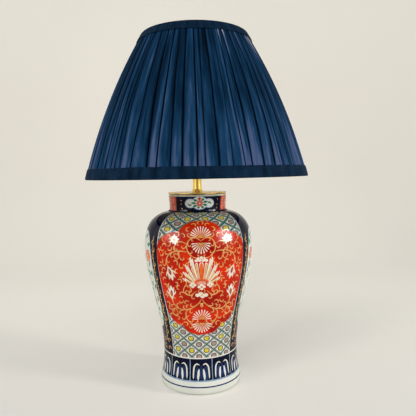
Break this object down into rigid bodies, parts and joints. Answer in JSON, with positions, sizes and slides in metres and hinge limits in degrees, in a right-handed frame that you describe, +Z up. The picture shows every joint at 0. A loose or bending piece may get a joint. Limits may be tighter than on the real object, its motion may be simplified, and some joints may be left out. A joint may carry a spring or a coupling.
{
  "type": "table lamp",
  "caption": "Porcelain vase table lamp with a brass cap and stem, a push-bar lampholder and a gathered fabric shade that swivels and tilts on a gimbal carrier.",
  "frame": {"origin": "middle of the foot, on the surface the lamp stands on", "axes": "+Z up the lamp's axis, the front faces -Y, the switch bar and the gimbal pivots lie along X"},
  "size_m": [0.4061, 0.4062, 0.6368],
  "materials": {
    "porcelain": "clear glaze over painted enamels",
    "brass": "polished",
    "steel": "zinc plated",
    "felt": "wool felt",
    "rubber": "matte",
    "holder_ceramic": "unglazed",
    "carrier_brass": "brushed",
    "bulb_glass": "pearl",
    "bulb_black": "vitreous black",
    "filament": "coated",
    "frame_wire": "white powder coat",
    "shade_cloth": "gathered silk",
    "shade_trim": "silk band",
    "shade_lining": "plain weave"
  },
  "bodies": {
    "base": {"vase": "porcelain", "foot_felt": "felt", "cord_grommet": "rubber", "base_gasket": "rubber", "base_washer": "steel", "base_nut": "steel", "threaded_rod": "steel", "vase_cap": "brass", "cap_gasket": "rubber", "stem_nut": "brass", "stem_tube": "brass", "holder_cup": "brass", "holder_lock_screw": "steel", "holder_shell": "brass", "holder_insulator": "holder_ceramic", "terminal_screws": "brass", "screw_shell": "brass", "centre_contact": "brass", "shade_ring_lower": "brass", "shade_ring_upper": "brass", "carrier_ring": "carrier_brass", "carrier_wires": "carrier_brass", "carrier_seat": "carrier_brass"},
    "switch": {"switch_bar": "brass"},
    "bulb_lift": {"bulb_contact": "brass"},
    "bulb": {"bulb_insulator": "bulb_black", "bulb_cap": "brass", "bulb_glass": "bulb_glass", "bulb_filament": "filament"},
    "gimbal": {"gimbal_ring": "carrier_brass", "gimbal_pivots": "steel"},
    "shade": {"gimbal_arms": "frame_wire", "frame_top_hoop": "frame_wire", "frame_bottom_hoop": "frame_wire", "frame_struts": "frame_wire", "shade_lining": "shade_lining", "shade_cover": "shade_cloth", "top_trim": "shade_trim", "bottom_trim": "shade_trim"}
  },
  "joints": [
    {"name": "switch_push", "type": "slide", "parent": "base", "child": "switch", "axis": [1, 0, 0], "range_m": [0, 0.006]},
    {"name": "bulb_rise", "type": "slide", "parent": "base", "child": "bulb_lift", "axis": [0, 0, 1], "range_m": [0, 0.01819]},
    {"name": "bulb_turn", "type": "hinge", "parent": "bulb_lift", "child": "bulb", "pos_m": [0, 0, 0.4414], "axis": [0, 0, 1], "range_deg": [0, 1800]},
    {"name": "shade_swivel", "type": "hinge", "parent": "base", "child": "gimbal", "pos_m": [0, 0, 0.5752], "axis": [0, 0, 1], "continuous": true},
    {"name": "shade_tilt", "type": "hinge", "parent": "gimbal", "child": "shade", "pos_m": [0, 0, 0.5752], "axis": [1, 0, 0], "range_deg": [-15, 15]}
  ],
  "couplings": [
    {"joint": "bulb_rise", "follows": "bulb_turn", "m_per_rad": 0.00057757}
  ]
}
